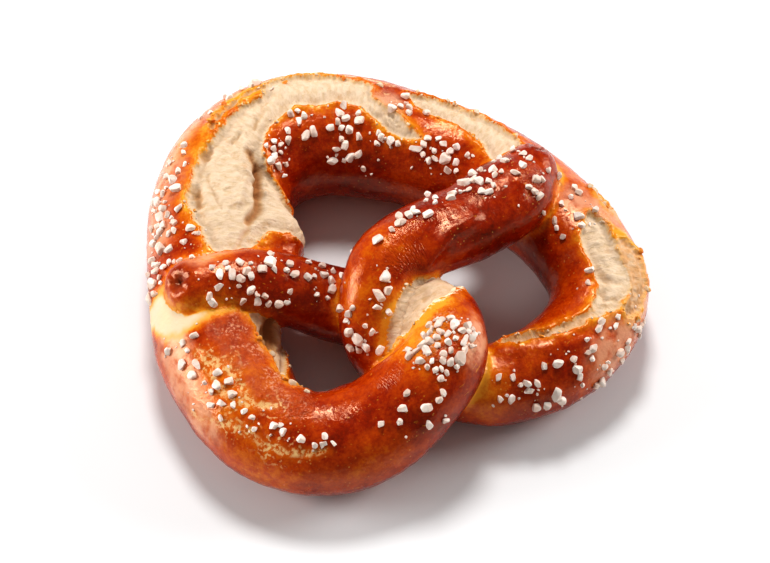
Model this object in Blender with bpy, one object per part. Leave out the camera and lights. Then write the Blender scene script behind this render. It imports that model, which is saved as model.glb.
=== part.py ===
"""Soft pretzel: one rope of dough, crossed twice, baked into one solid.

Frame: +Z up, the flat foot on z = 0, the belly towards +Y and the two front lobes
towards -Y. The origin is under the middle of the whole outline.
"""

import math

import bpy
from mathutils import Vector

MM = 0.001
SHIFT_X_MM = 0.8        # brings the middle of the outline over the origin

# The rope, hand laid, in mm: x, y, height of the centre, half width, half height.
# It starts at the end that rests on the left side and finishes at the right end.
LEFT_ARM = [
    (-54.0, 8.5, 29.5, 8.5, 7.5),
    (-36.0, 1.5, 27.0, 10.0, 9.5),
    (-16.0, -10.5, 15.0, 11.0, 11.0),
    (-5.0, -18.0, 12.0, 11.0, 11.0),
    (2.5, -27.5, 18.0, 10.5, 10.0),
    (3.0, -38.0, 27.0, 10.5, 10.0),
]
LEFT_LOBE = [
    (-4.0, -48.5, 28.0, 12.0, 12.0),
    (-28.0, -52.0, 16.0, 15.0, 14.0),
    (-43.5, -46.5, 13.5, 16.0, 14.5),
    (-54.0, -33.0, 13.5, 16.5, 15.0),
    (-55.5, -17.0, 14.0, 17.5, 15.5),
    (-52.0, 0.0, 15.0, 18.5, 16.0),
]
BELLY = [
    (-34.5, 30.0, 17.0, 21.5, 18.0),
    (-23.5, 44.5, 17.0, 20.5, 18.5),
    (-7.5, 51.0, 17.0, 20.5, 19.0),
    (10.0, 47.5, 17.0, 19.5, 18.5),
    (27.0, 34.5, 16.0, 18.5, 17.5),
    (51.5, -1.0, 15.0, 16.0, 15.5),
]
RIGHT_LOBE = [
    (55.5, -36.5, 14.0, 15.0, 14.5),
    (49.5, -49.0, 13.5, 14.5, 14.0),
    (37.0, -56.5, 13.0, 14.0, 13.5),
    (21.5, -58.0, 12.0, 13.0, 12.5),
    (7.5, -53.5, 11.0, 12.0, 11.5),
    (-11.0, -35.5, 12.0, 10.5, 10.0),
]
RIGHT_ARM = [
    (-14.0, -28.0, 20.0, 10.0, 9.5),
    (-11.0, -21.0, 28.0, 10.0, 9.5),
    (-2.0, -14.5, 33.0, 10.5, 10.0),
    (27.5, -13.5, 31.0, 12.5, 11.0),
    (43.0, -11.0, 31.0, 12.5, 10.5),
    (51.5, -7.0, 31.0, 9.0, 8.0),
]
ROPE = LEFT_ARM + LEFT_LOBE + BELLY + RIGHT_LOBE + RIGHT_ARM

# Where the crust has split or swollen. Places run along the rope from the left end, in mm,
# and round it in degrees: 0 on the right of the way along, 90 on top, 180 on the left.
# Each is (start, end, middle angle, half spread in degrees, depth in mm; less than 0 swells).
SPLITS = [
    (206.0, 304.0, 92.0, 36.0, 2.6),
    (292.0, 352.0, 106.0, 18.0, 1.6),
    (226.0, 252.0, 52.0, 16.0, 1.8),
    (374.0, 413.0, 98.0, 27.0, 2.6),
    (209.0, 238.0, 16.0, 40.0, -6.0),
    (132.0, 192.0, 30.0, 42.0, 3.0),
]

TUBE_SIDES = 40
RING_STEP_MM = 2.0
CAP_RINGS = 7
CAP_LENGTH = 0.95       # length of a rounded end over the rope's half width there
NAVEL_DEPTH_MM = 1.4    # the dimple in the middle of each end
NAVEL_REACH = 0.45      # the dimple's radius over the end's own radius
FUSE_VOXEL_MM = 1.3     # the grain at which touching strands grow together
SMOOTH_ROUNDS = 6
TARGET_TRIANGLES = 7600
TABLE_SIZE_MM = 200.0
CRUST_COLOUR = (0.33, 0.10, 0.03, 1.0)
CRUST_ROUGHNESS = 0.35


def clear_scene():
    for obj in list(bpy.data.objects):
        bpy.data.objects.remove(obj, do_unlink=True)


def blend_rows(row_a, row_b, t_a, t_b, t):
    """Linear blend of two rows, row_a at t_a and row_b at t_b."""
    share = (t - t_a) / (t_b - t_a)
    return [a + (b - a) * share for a, b in zip(row_a, row_b)]


def mirrored_row(row, neighbour):
    """The row as far before an end row as its neighbour is after it."""
    return [2 * a - b for a, b in zip(row, neighbour)]


def curve_point(rows, knots, t):
    """A point of the centripetal Catmull-Rom piece between rows[1] and rows[2]."""
    a1 = blend_rows(rows[0], rows[1], knots[0], knots[1], t)
    a2 = blend_rows(rows[1], rows[2], knots[1], knots[2], t)
    a3 = blend_rows(rows[2], rows[3], knots[2], knots[3], t)
    b1 = blend_rows(a1, a2, knots[0], knots[2], t)
    b2 = blend_rows(a2, a3, knots[1], knots[3], t)
    return blend_rows(b1, b2, knots[1], knots[2], t)


def smooth_rope(rows, step):
    """Rows a step apart or less, on one smooth curve through all the given rows."""
    padded = [mirrored_row(rows[0], rows[1]), *rows, mirrored_row(rows[-1], rows[-2])]
    result = []
    for i in range(1, len(padded) - 2):
        four = padded[i - 1:i + 3]
        knots = [0.0]
        for a, b in zip(four, four[1:]):
            knots.append(knots[-1] + math.sqrt(math.dist(a[:3], b[:3])))
        pieces = math.ceil(math.dist(four[1][:3], four[2][:3]) / step)
        for k in range(pieces):
            t = knots[1] + (knots[2] - knots[1]) * k / pieces
            result.append(curve_point(four, knots, t))
    result.append(list(rows[-1]))
    return result


def running_lengths(rows):
    lengths = [0.0]
    for a, b in zip(rows, rows[1:]):
        lengths.append(lengths[-1] + math.dist(a[:3], b[:3]))
    return lengths


def bump(value):
    """A smooth hump: 1 at 0, falling to 0 at -1 and +1."""
    if abs(value) >= 1:
        return 0.0
    return (1 - value * value) ** 2


def relief(along, angle):
    """How far the surface is sunk, in mm, at a place on the rope."""
    total = 0.0
    for start, end, middle, spread, depth in SPLITS:
        middle_length = (start + end) / 2
        half_length = (end - start) / 2
        away = (angle - middle + 180) % 360 - 180
        total += depth * bump((along - middle_length) / half_length) * bump(away / spread)
    return total


def rope_frame(rows, index):
    """Centre, forward, side and upward directions at a row."""
    before = Vector(rows[max(index - 1, 0)][:3])
    after = Vector(rows[min(index + 1, len(rows) - 1)][:3])
    forward = (after - before).normalized()
    side = forward.cross(Vector((0, 0, 1))).normalized()
    return Vector(rows[index][:3]), forward, side, side.cross(forward)


def ring(centre, side, up, half_width, half_height, along):
    points = []
    for k in range(TUBE_SIDES):
        turn = math.tau * k / TUBE_SIDES
        sunk = relief(along, math.degrees(turn))
        across = side * ((half_width - sunk) * math.cos(turn))
        points.append(centre + across + up * ((half_height - sunk) * math.sin(turn)))
    return points


def end_rings(rows, index, direction):
    """Rings that round off one end, closing on a dimple, from the full ring outwards."""
    centre, forward, side, up = rope_frame(rows, index)
    half_width, half_height = rows[index][3:]
    rings = []
    for k in range(1, CAP_RINGS + 1):
        bend = math.pi / 2 * k / CAP_RINGS
        share = max(math.cos(bend), 0.02)
        reach = math.sin(bend) * half_width * CAP_LENGTH
        reach -= NAVEL_DEPTH_MM * bump(share / NAVEL_REACH)
        place = centre + forward * (direction * reach)
        points = []
        for j in range(TUBE_SIDES):
            turn = math.tau * j / TUBE_SIDES
            across = side * (half_width * share * math.cos(turn))
            points.append(place + across + up * (half_height * share * math.sin(turn)))
        rings.append(points)
    return rings


def rope_rings():
    rows = smooth_rope(ROPE, RING_STEP_MM)
    lengths = running_lengths(rows)
    rings = end_rings(rows, 0, -1)[::-1]
    for i, row in enumerate(rows):
        centre, forward, side, up = rope_frame(rows, i)
        rings.append(ring(centre, side, up, row[3], row[4], lengths[i]))
    return rings + end_rings(rows, len(rows) - 1, 1)


def build_rope():
    """The dough rope as one closed tube, which still runs through itself at the crossings."""
    rings = rope_rings()
    shift = Vector((SHIFT_X_MM, 0, 0))
    points = [(point + shift) * MM for loop in rings for point in loop]
    faces = []
    for i in range(len(rings) - 1):
        for k in range(TUBE_SIDES):
            nxt = (k + 1) % TUBE_SIDES
            low = i * TUBE_SIDES
            high = low + TUBE_SIDES
            faces.append((low + k, low + nxt, high + nxt, high + k))
    last = (len(rings) - 1) * TUBE_SIDES
    faces.append(tuple(range(TUBE_SIDES - 1, -1, -1)))
    faces.append(tuple(range(last, last + TUBE_SIDES)))
    mesh = bpy.data.meshes.new("pretzel")
    mesh.from_pydata(points, [], faces)
    pretzel = bpy.data.objects.new("pretzel", mesh)
    bpy.context.scene.collection.objects.link(pretzel)
    return pretzel


def fuse_strands(pretzel):
    """The crossings grow together into one skin, softened and then thinned to few faces."""
    fuse = pretzel.modifiers.new("fuse", "REMESH")
    fuse.mode = "VOXEL"
    fuse.voxel_size = FUSE_VOXEL_MM * MM
    fuse.use_smooth_shade = True
    soften = pretzel.modifiers.new("soften", "SMOOTH")
    soften.iterations = SMOOTH_ROUNDS
    thin = pretzel.modifiers.new("thin", "DECIMATE")
    thin.ratio = TARGET_TRIANGLES / triangle_count(pretzel)
    thin.use_collapse_triangulate = True


def triangle_count(obj):
    """Triangles of the object as its modifiers leave it."""
    shown = obj.evaluated_get(bpy.context.evaluated_depsgraph_get())
    mesh = shown.to_mesh()
    mesh.calc_loop_triangles()
    count = len(mesh.loop_triangles)
    shown.to_mesh_clear()
    return count


def cut_flat_foot(pretzel):
    """Everything below the table is cut off, which leaves the flat foot at z = 0."""
    half = TABLE_SIZE_MM * MM / 2
    thickness = TABLE_SIZE_MM * MM / 5
    corners = []
    for z in (-thickness, 0.0):
        corners += [(-half, -half, z), (half, -half, z), (half, half, z), (-half, half, z)]
    sides = [(0, 1, 5, 4), (1, 2, 6, 5), (2, 3, 7, 6), (3, 0, 4, 7), (3, 2, 1, 0), (4, 5, 6, 7)]
    mesh = bpy.data.meshes.new("table_cutter")
    mesh.from_pydata(corners, [], sides)
    cutter = bpy.data.objects.new("table_cutter", mesh)
    bpy.context.scene.collection.objects.link(cutter)
    cutter.hide_render = True
    cutter.display_type = "WIRE"
    flatten = pretzel.modifiers.new("flat_foot", "BOOLEAN")
    flatten.operation = "DIFFERENCE"
    flatten.solver = "EXACT"
    flatten.object = cutter


def paint_crust(pretzel):
    crust = bpy.data.materials.new("crust")
    crust.use_nodes = True
    shader = crust.node_tree.nodes["Principled BSDF"]
    shader.inputs["Base Color"].default_value = CRUST_COLOUR
    shader.inputs["Roughness"].default_value = CRUST_ROUGHNESS
    shader.inputs["Metallic"].default_value = 0.0
    pretzel.data.materials.append(crust)


def main():
    clear_scene()
    pretzel = build_rope()
    paint_crust(pretzel)
    fuse_strands(pretzel)
    cut_flat_foot(pretzel)


main()
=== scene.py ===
import math
import random

import bmesh
import bpy
import numpy as np
from mathutils import Matrix, Vector, noise
from mathutils.bvhtree import BVHTree


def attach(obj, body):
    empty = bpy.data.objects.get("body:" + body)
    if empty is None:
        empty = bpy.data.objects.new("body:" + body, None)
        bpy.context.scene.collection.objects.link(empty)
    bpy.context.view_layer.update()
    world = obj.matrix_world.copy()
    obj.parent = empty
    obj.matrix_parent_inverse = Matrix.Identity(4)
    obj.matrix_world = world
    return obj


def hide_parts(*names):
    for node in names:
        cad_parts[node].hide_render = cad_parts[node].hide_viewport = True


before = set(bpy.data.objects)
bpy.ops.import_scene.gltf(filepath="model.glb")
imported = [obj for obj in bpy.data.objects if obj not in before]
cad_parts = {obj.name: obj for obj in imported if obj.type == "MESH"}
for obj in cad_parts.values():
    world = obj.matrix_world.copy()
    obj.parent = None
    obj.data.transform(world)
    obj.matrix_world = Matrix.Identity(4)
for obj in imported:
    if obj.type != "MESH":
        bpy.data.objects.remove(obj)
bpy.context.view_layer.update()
mm = 0.001
farOff = 99.0               # mm, more than any distance on the pretzel that matters

# the rope of dough
# x, y, height of the centre, half width, half height, in mm, from the left end to the right one
rope = {
    "leftArm": [
        (-54.0, 8.5, 29.5, 8.5, 7.5),
        (-36.0, 1.5, 27.0, 10.0, 9.5),
        (-16.0, -10.5, 15.0, 11.0, 11.0),
        (-5.0, -18.0, 12.0, 11.0, 11.0),
        (2.5, -27.5, 18.0, 10.5, 10.0),
        (3.0, -38.0, 27.0, 10.5, 10.0),
    ],
    "leftLobe": [
        (-4.0, -48.5, 28.0, 12.0, 12.0),
        (-28.0, -52.0, 16.0, 15.0, 14.0),
        (-43.5, -46.5, 13.5, 16.0, 14.5),
        (-54.0, -33.0, 13.5, 16.5, 15.0),
        (-55.5, -17.0, 14.0, 17.5, 15.5),
        (-52.0, 0.0, 15.0, 18.5, 16.0),
    ],
    "belly": [
        (-34.5, 30.0, 17.0, 21.5, 18.0),
        (-23.5, 44.5, 17.0, 20.5, 18.5),
        (-7.5, 51.0, 17.0, 20.5, 19.0),
        (10.0, 47.5, 17.0, 19.5, 18.5),
        (27.0, 34.5, 16.0, 18.5, 17.5),
        (51.5, -1.0, 15.0, 16.0, 15.5),
    ],
    "rightLobe": [
        (55.5, -36.5, 14.0, 15.0, 14.5),
        (49.5, -49.0, 13.5, 14.5, 14.0),
        (37.0, -56.5, 13.0, 14.0, 13.5),
        (21.5, -58.0, 12.0, 13.0, 12.5),
        (7.5, -53.5, 11.0, 12.0, 11.5),
        (-11.0, -35.5, 12.0, 10.5, 10.0),
    ],
    "rightArm": [
        (-14.0, -28.0, 20.0, 10.0, 9.5),
        (-11.0, -21.0, 28.0, 10.0, 9.5),
        (-2.0, -14.5, 33.0, 10.5, 10.0),
        (27.5, -13.5, 31.0, 12.5, 11.0),
        (43.0, -11.0, 31.0, 12.5, 10.5),
        (51.5, -7.0, 31.0, 9.0, 8.0),
    ],
}
ropeMake = {
    "shiftX": 0.8,          # brings the outline's middle over the origin
    "ringStep": 1.5,
    "sides": 56,
    "capRings": 8,
    "capLength": 0.95,
    "voxel": 1.12,          # strands that touch grow together at this grain
    "smoothRounds": 4,
    "ownReach": 42.0,       # dough this near along the rope is the same strand
    "offRing": 1.3,         # what a step along the rope costs when a point looks for its ring
    "batch": 4000,          # points worked on at once
}
# broad hollows and swellings: start, end, middle angle, half spread, depth (less than 0 swells)
broadShape = [
    (206.0, 304.0, 92.0, 36.0, 2.6),
    (292.0, 352.0, 106.0, 18.0, 1.6),
    (226.0, 252.0, 52.0, 16.0, 1.8),
    (374.0, 413.0, 98.0, 27.0, 2.6),
    (209.0, 238.0, 16.0, 40.0, -6.0),
    (132.0, 192.0, 30.0, 42.0, 3.0),
]


def blendRows(rowA, rowB, tA, tB, t):
    share = (t - tA) / (tB - tA)
    return [a + (b - a) * share for a, b in zip(rowA, rowB)]


def curvePoint(rows, knots, t):
    a1 = blendRows(rows[0], rows[1], knots[0], knots[1], t)
    a2 = blendRows(rows[1], rows[2], knots[1], knots[2], t)
    a3 = blendRows(rows[2], rows[3], knots[2], knots[3], t)
    b1 = blendRows(a1, a2, knots[0], knots[2], t)
    b2 = blendRows(a2, a3, knots[1], knots[3], t)
    return blendRows(b1, b2, knots[1], knots[2], t)


def smoothRope(rows, step):
    before = [2 * a - b for a, b in zip(rows[0], rows[1])]
    after = [2 * a - b for a, b in zip(rows[-1], rows[-2])]
    padded = [before, *rows, after]
    result = []
    for i in range(1, len(padded) - 2):
        four = padded[i - 1:i + 3]
        knots = [0.0]
        for a, b in zip(four, four[1:]):
            knots.append(knots[-1] + math.sqrt(math.dist(a[:3], b[:3])))
        pieces = math.ceil(math.dist(four[1][:3], four[2][:3]) / step)
        for k in range(pieces):
            result.append(curvePoint(four, knots, knots[1] + (knots[2] - knots[1]) * k / pieces))
    result.append(list(rows[-1]))
    return np.array(result)


def ropeFrames(rows):
    centre = rows[:, :3]
    forward = np.gradient(centre, axis=0)
    forward /= np.linalg.norm(forward, axis=1)[:, None]
    side = np.cross(forward, (0, 0, 1))
    side /= np.linalg.norm(side, axis=1)[:, None]
    return centre, forward, side, np.cross(side, forward)


def hump(value):
    return np.where(np.abs(value) >= 1, 0.0, (1 - value * value) ** 2)


def turned(angle, middle):
    return (angle - middle + 180) % 360 - 180


def broadRelief(along, angle):
    total = 0.0
    for start, end, middle, spread, depth in broadShape:
        share = (along - (start + end) / 2) / ((end - start) / 2)
        total = total + depth * hump(share) * hump(turned(angle, middle) / spread)
    return total


rows = smoothRope(sum(rope.values(), []), ropeMake["ringStep"])
rows[:, 0] += ropeMake["shiftX"]
centres, forwards, sidesOut, ups = ropeFrames(rows)
lengths = np.concatenate([[0], np.cumsum(np.linalg.norm(np.diff(centres, axis=0), axis=1))])


def ringPoints(i, share=1.0, reach=0.0):
    turn = np.arange(ropeMake["sides"]) * math.tau / ropeMake["sides"]
    sunk = broadRelief(lengths[i], np.degrees(turn))
    wide = (rows[i, 3] - sunk) * share * np.cos(turn)
    high = (rows[i, 4] - sunk) * share * np.sin(turn)
    return centres[i] + forwards[i] * reach + sidesOut[i] * wide[:, None] + ups[i] * high[:, None]


def capPoints(i, way):
    rings = []
    for k in range(1, ropeMake["capRings"] + 1):
        bend = math.pi / 2 * k / ropeMake["capRings"]
        reach = math.sin(bend) * rows[i, 3] * ropeMake["capLength"]
        rings.append(ringPoints(i, max(math.cos(bend), 0.02), way * reach))
    return rings


# the flat web of pale dough in the crook between the right arm and the front lobe
webMake = {"middle": (-1.8, -31.6, 27.2), "half": (12.5, 6.4, 5.6), "turn": 26.0, "tilt": -13.0}


def addWeb(mesh):
    place = Matrix.Translation(Vector(webMake["middle"]) * mm)
    place @= Matrix.Rotation(math.radians(webMake["turn"]), 4, "Z")
    place @= Matrix.Rotation(math.radians(webMake["tilt"]), 4, "Y")
    place @= Matrix.Diagonal(Vector(webMake["half"]) * mm).to_4x4()
    build = bmesh.new()
    build.from_mesh(mesh)
    bmesh.ops.create_icosphere(build, subdivisions=4, radius=1.0, matrix=place)
    build.to_mesh(mesh)
    build.free()


def tubeMesh():
    last = len(rows) - 1
    rings = capPoints(0, -1)[::-1] + [ringPoints(i) for i in range(len(rows))] + capPoints(last, 1)
    points = np.concatenate(rings)
    points[:, 2] = np.maximum(points[:, 2], 0)
    n = ropeMake["sides"]
    faces = []
    for i in range(len(rings) - 1):
        for k in range(n):
            faces.append((i * n + k, i * n + (k + 1) % n, (i + 1) * n + (k + 1) % n, (i + 1) * n + k))
    end = (len(rings) - 1) * n
    faces.append(tuple(range(n - 1, -1, -1)))
    faces.append(tuple(range(end, end + n)))
    mesh = bpy.data.meshes.new("doughTube")
    mesh.from_pydata((points * mm).tolist(), [], faces)
    addWeb(mesh)
    return mesh


def fusedMesh():
    tube = bpy.data.objects.new("doughTube", tubeMesh())
    bpy.context.scene.collection.objects.link(tube)
    fuse = tube.modifiers.new("fuse", "REMESH")
    fuse.mode = "VOXEL"
    fuse.voxel_size = ropeMake["voxel"] * mm
    soften = tube.modifiers.new("soften", "SMOOTH")
    soften.iterations = ropeMake["smoothRounds"]
    shown = tube.evaluated_get(bpy.context.evaluated_depsgraph_get())
    mesh = bpy.data.meshes.new_from_object(shown)
    bpy.data.objects.remove(tube)
    return mesh


# where a point lies on the rope
def pointsOf(mesh):
    flat = np.empty(len(mesh.vertices) * 3, np.float32)
    mesh.vertices.foreach_get("co", flat)
    return flat.reshape(-1, 3).astype(float) / mm


def radiusAt(along):
    return (np.interp(along, lengths, rows[:, 3]) + np.interp(along, lengths, rows[:, 4])) / 2


def ropePlaces(points):
    # along in mm, around in degrees from -90 to 270, and how far the next strand is, in mm
    along = np.empty(len(points))
    around = np.empty(len(points))
    toNext = np.empty(len(points))
    radius = (rows[:, 3] + rows[:, 4]) / 2
    batch = ropeMake["batch"]
    for start in range(0, len(points), batch):
        part = points[start:start + batch]
        away = part[:, None] - centres[None]
        t = np.einsum("ijk,jk->ij", away, forwards)
        u = np.einsum("ijk,jk->ij", away, sidesOut) / rows[:, 3]
        v = np.einsum("ijk,jk->ij", away, ups) / rows[:, 4]
        cap = np.zeros_like(t)
        cap[:, 0] = np.minimum(t[:, 0], 0) / (ropeMake["capLength"] * rows[0, 3])
        cap[:, -1] = np.maximum(t[:, -1], 0) / (ropeMake["capLength"] * rows[-1, 3])
        over = np.sqrt(u * u + v * v + cap * cap)
        cost = np.abs(over - 1) * radius + np.where(cap == 0, np.abs(t) * ropeMake["offRing"], 0)
        best = cost.argmin(1)
        line = np.arange(len(part))
        along[start:start + batch] = lengths[best] + t[line, best]
        angle = np.degrees(np.arctan2(v[line, best], u[line, best]))
        around[start:start + batch] = (angle + 90) % 360 - 90
        gap = np.linalg.norm(away, axis=2) - radius
        gap[np.abs(lengths[None] - lengths[best][:, None]) < ropeMake["ownReach"]] = farOff
        toNext[start:start + batch] = gap.min(1)
    return along, around, toNext


def fineNoise(points, grain, octaves=1, shift=0.0):
    move = Vector((shift, shift * 0.7, -shift))
    if octaves == 1:
        return np.array([noise.noise(Vector(p) + move) for p in points / grain])
    return np.array([noise.fractal(Vector(p) + move, 1.0, 2.0, octaves) for p in points / grain])


def segmentDistance(along, py, s0, y0, s1, y1):
    ex, ey = s1 - s0, y1 - y0
    share = np.clip(((along - s0) * ex + (py - y0) * ey) / (ex * ex + ey * ey + 1e-9), 0, 1)
    return np.hypot(along - s0 - share * ex, py - y0 - share * ey)


def edgeDistance(outline, along, around):
    # mm inside the outline, less than 0 outside it; the outline's corners are (mm along, degrees round)
    radius = radiusAt(along)
    py = np.radians(around) * radius
    inside = np.zeros(len(py), bool)
    nearest = np.full(len(py), farOff)
    for (s0, a0), (s1, a1) in zip(outline, outline[1:] + outline[:1]):
        y0, y1 = math.radians(a0) * radius, math.radians(a1) * radius
        nearest = np.minimum(nearest, segmentDistance(along, py, s0, y0, s1, y1))
        if s0 != s1:
            crosses = (along >= min(s0, s1)) & (along < max(s0, s1))
            inside ^= crosses & (py < y0 + (along - s0) / (s1 - s0) * (y1 - y0))
    return np.where(inside, nearest, -nearest)


def lineDistance(lines, along, around):
    nearest = np.full(len(along), farOff)
    radius = radiusAt(along)
    py = np.radians(around) * radius
    for line in lines:
        for (s0, a0), (s1, a1) in zip(line, line[1:]):
            y0, y1 = math.radians(a0) * radius, math.radians(a1) * radius
            nearest = np.minimum(nearest, segmentDistance(along, py, s0, y0, s1, y1))
    return nearest


def soft(value, low, high):
    share = np.clip((value - low) / (high - low), 0, 1)
    return share * share * (3 - 2 * share)


# tears, pale dough and fine relief
tears = {
    "belly": [(206, 64), (213, 90), (218, 97), (226, 109), (231, 115), (238, 113), (247, 111), (256, 108),
              (263, 111), (270, 110), (273, 126), (282, 125), (292, 121), (299, 117), (300, 98), (308, 88),
              (314, 76), (319, 68), (315, 61), (309, 63), (303, 73), (297, 84), (289, 86), (284, 80),
              (277, 84), (271, 77), (264, 71), (257, 64), (251, 50), (243, 37), (238, 20), (236, 2),
              (226, -12), (221, 6), (224, 28), (223, 44), (217, 53), (207, 57)],
    "far": [(309, 120), (314, 104), (320, 98), (330, 93), (337, 86), (342, 73), (348, 80), (349, 104),
            (345, 119), (331, 127), (317, 126)],
    "layer": [(254, 113), (262, 117), (273, 119), (274, 122), (264, 122), (255, 117)],
    "right": [(376, 103), (378, 110), (381, 114), (385, 115), (389, 115), (392, 117),
              (394, 122), (396, 127), (399, 127), (402, 123), (405, 119), (409, 109), (411, 99),
              (407, 91), (401, 86), (396, 79), (391, 76), (386, 74), (383, 74), (380, 84), (378, 93)],
    "rightOuter": [(385, 120), (388, 114), (392, 116), (395, 122), (399, 126), (404, 122), (406, 134),
                   (402, 150), (395, 155), (389, 149), (386, 138)],
    "rightFlake": [(369, 136), (373, 131), (377, 134), (377, 142), (371, 146)],
    "rightCrack": [(407, 97), (411, 90), (416, 82), (422, 71), (428, 58), (437, 46), (440, 52),
                   (433, 68), (426, 78), (421, 89), (415, 97), (410, 103)],
    "underArm": [(197, 64), (191, 58), (186, 55), (182, 57), (177, 52), (173, 50), (164, 51), (157, 57),
                 (152, 52), (160, 38), (168, 28), (173, 16), (180, 2), (188, -14), (204, -14), (204, 62)],
    "web": [(60, -40), (60, 160), (80, 160), (85, 138), (87, 115), (89, 95), (90, 75), (91, 60), (93, 44),
            (94, 16), (96, -10), (92, -40)],
    "webSide": [(474, 120), (480, 106), (484, 88), (488, 66), (493, 44), (498, 28), (503, 11), (509, 0),
                (514, -10), (514, -44), (500, -44), (486, -20), (474, 40)],
}
# how far the crumb of each tear browned, how strongly it is folded, how high its crust lip stands,
# and how strongly a thin ridge stands along the lip with a painted highlight on it; a tear that isn't named
# has the usual value
toastedTears = {
    "web": 0.2, "webSide": 0.1, "rightOuter": 0.7, "layer": 0.8, "rightCrack": 0.45, "underArm": 0.3,
    "rightFlake": 0.9,
}
tearWild = {"web": 0.6, "webSide": 0.25, "underArm": 0.7}
lipLow = {"webSide": 0.0, "web": 0.6}
lipRidgeHighlight = {"web": 1.0}
paleDough = {
    "leftSeam": [(199, 190), (197, 161), (193, 146), (191, 127), (192, 110), (194, 92), (195, 62),
                 (204, 60), (204, 90), (205, 118), (204, 134), (203, 150), (203, 190)],
    "webSide": [(472, 122), (478, 106), (482, 88), (486, 64), (491, 42), (496, 24), (502, 6), (509, -4),
                (516, -14), (516, -46), (500, -46), (484, -20), (472, 40)],
}
rag = {"wide": 0.9, "wideGrain": 3.2, "fine": 0.5, "fineGrain": 1.0}
tearMake = {
    "crustThick": 1.15,
    "lipShare": 0.6,        # how much of the drop to the crumb a low lip takes away
    "crumbFrom": -0.1,      # the crumb begins and is whole this deep inside the line
    "crumbFull": 0.9,
    "rimHeight": 0.6,
    "rimWidth": 0.9,
    "rimOut": 0.8,
    "lift": 0.4,            # the crust bends up towards the tear
    "liftReach": 3.5,
    "crumbSwell": 1.25,
    "swellFrom": 0.5,
    "swellTo": 5.5,
    "foldDepth": 0.5,
    "foldLong": 10.0,
    "fibreDepth": 0.13,
    "fibreLong": 5.0,
    "calmFrom": 0.5,        # folds and fibres fade out between these depths
    "calmTo": 3.6,
    "brightRim": 0.45,
    "brightWidth": 0.5,
}
# the crumb of the left and right tears: slant, fold size, bend, fold strength and grain
crumbKinds = {
    "left": (0.9, 4.2, 2.2, 0.7, 0.16),
    "right": (0.12, 2.3, 0.8, 1.2, 0.08),
}
rightFrom = 365.0
# lumps in the crust: grain in mm, octaves, shift and height
lumpSizes = [(17, 1, 5.0, 0.5), (6.0, 2, 1.0, 0.2), (2.2, 2, 12.0, 0.09)]
fineMesh = {
    "tearReach": 2.0,       # faces are halved from this far outside a tear inwards
    "lipMiddle": 0.2,       # and once more within lipReach of a line this far outside it
    "lipReach": 1.0,
    "floorClear": 1.0,
}
# ridges of crumb and welts of crust: the line, how high it stands and its half width in mm
ridges = [
    ([(244, 76), (242, 66), (240, 57), (236, 48)], 0.8, 0.9),
    ([(387, 118), (391, 119), (395, 125), (399, 128), (404, 123)], 0.9, 0.9),
    ([(231, 70), (239, 66), (247, 70), (255, 78)], 0.6, 0.9),
    ([(226, 66), (232, 58), (237, 44)], 0.6, 0.9),
    ([(388, 84), (391, 95), (390, 108)], 0.4, 0.9),
    ([(393, 86), (396, 97), (396, 110)], 0.4, 0.9),
    ([(399, 90), (402, 100), (402, 112)], 0.4, 0.9),
    ([(531, 62), (524, 56), (519, 46), (515, 30), (512, 16)], 1.5, 2.3),
    ([(441, 69), (432, 81), (424, 98), (417, 114)], 0.7, 2.0),
    ([(190, 84), (181, 80), (172, 82)], 0.5, 2.4),
    ([(168, 84), (161, 80), (152, 76)], 0.5, 2.2),
]
# crevices between layers of crumb, with brown painted shade in them: the line, its depth and its half width
# in mm
crevices = [
    ([(252, 70), (249, 60), (244, 56), (239, 53), (234, 53), (230, 54), (225, 61)], 1.9, 1.5),
    ([(190, 29), (185, 31), (177, 40), (173, 41)], 1.6, 1.0),
    ([(187, 40), (181, 44), (176, 47)], 1.0, 0.8),
    ([(262, 82), (268, 94), (270, 102)], 0.8, 0.8),
    ([(240, 100), (233, 92), (228, 84)], 0.7, 0.8),
    ([(222, 60), (217, 66), (213, 74)], 0.9, 0.9),
    ([(394, 82), (398, 96), (398, 110)], 0.6, 0.7),
    ([(401, 88), (404, 100), (402, 114)], 0.7, 0.7),
]
# deep pits in the crumb and dents in the crust, whose depth also paints shade into the crumb: place along,
# angle, half length, half width, depth
pits = [
    (233.0, 106.0, 2.6, 1.8, 1.6),
    (229.5, 103.0, 1.5, 1.5, 1.2),
    (243.0, 53.0, 7.0, 2.0, 1.2),
    (247.0, 107.0, 2.4, 2.0, 1.2),
    (255.0, 88.0, 2.6, 0.9, 0.8),
    (186.0, 30.0, 8.0, 4.5, 2.4),
    (424.0, 70.0, 9.0, 1.6, 1.0),
    (86.5, 62.0, 2.5, 2.0, 0.7),
]
# thin yellow stretch cracks in the crust
stretchCracks = [
    [(184, 118), (180, 106), (176, 98), (171, 98), (166, 101), (162, 104), (158, 94)],
    [(173, 158), (169, 152), (167, 146), (164, 134), (160, 129), (157, 136), (153, 134), (150, 137),
     (143, 128)],
    [(181, 113), (176, 117), (170, 115), (166, 113), (163, 106)],
    [(183, 120), (180, 114), (178, 109), (175, 99), (172, 92)],
    [(272, 128), (280, 130), (292, 129), (304, 126)],
]
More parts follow.
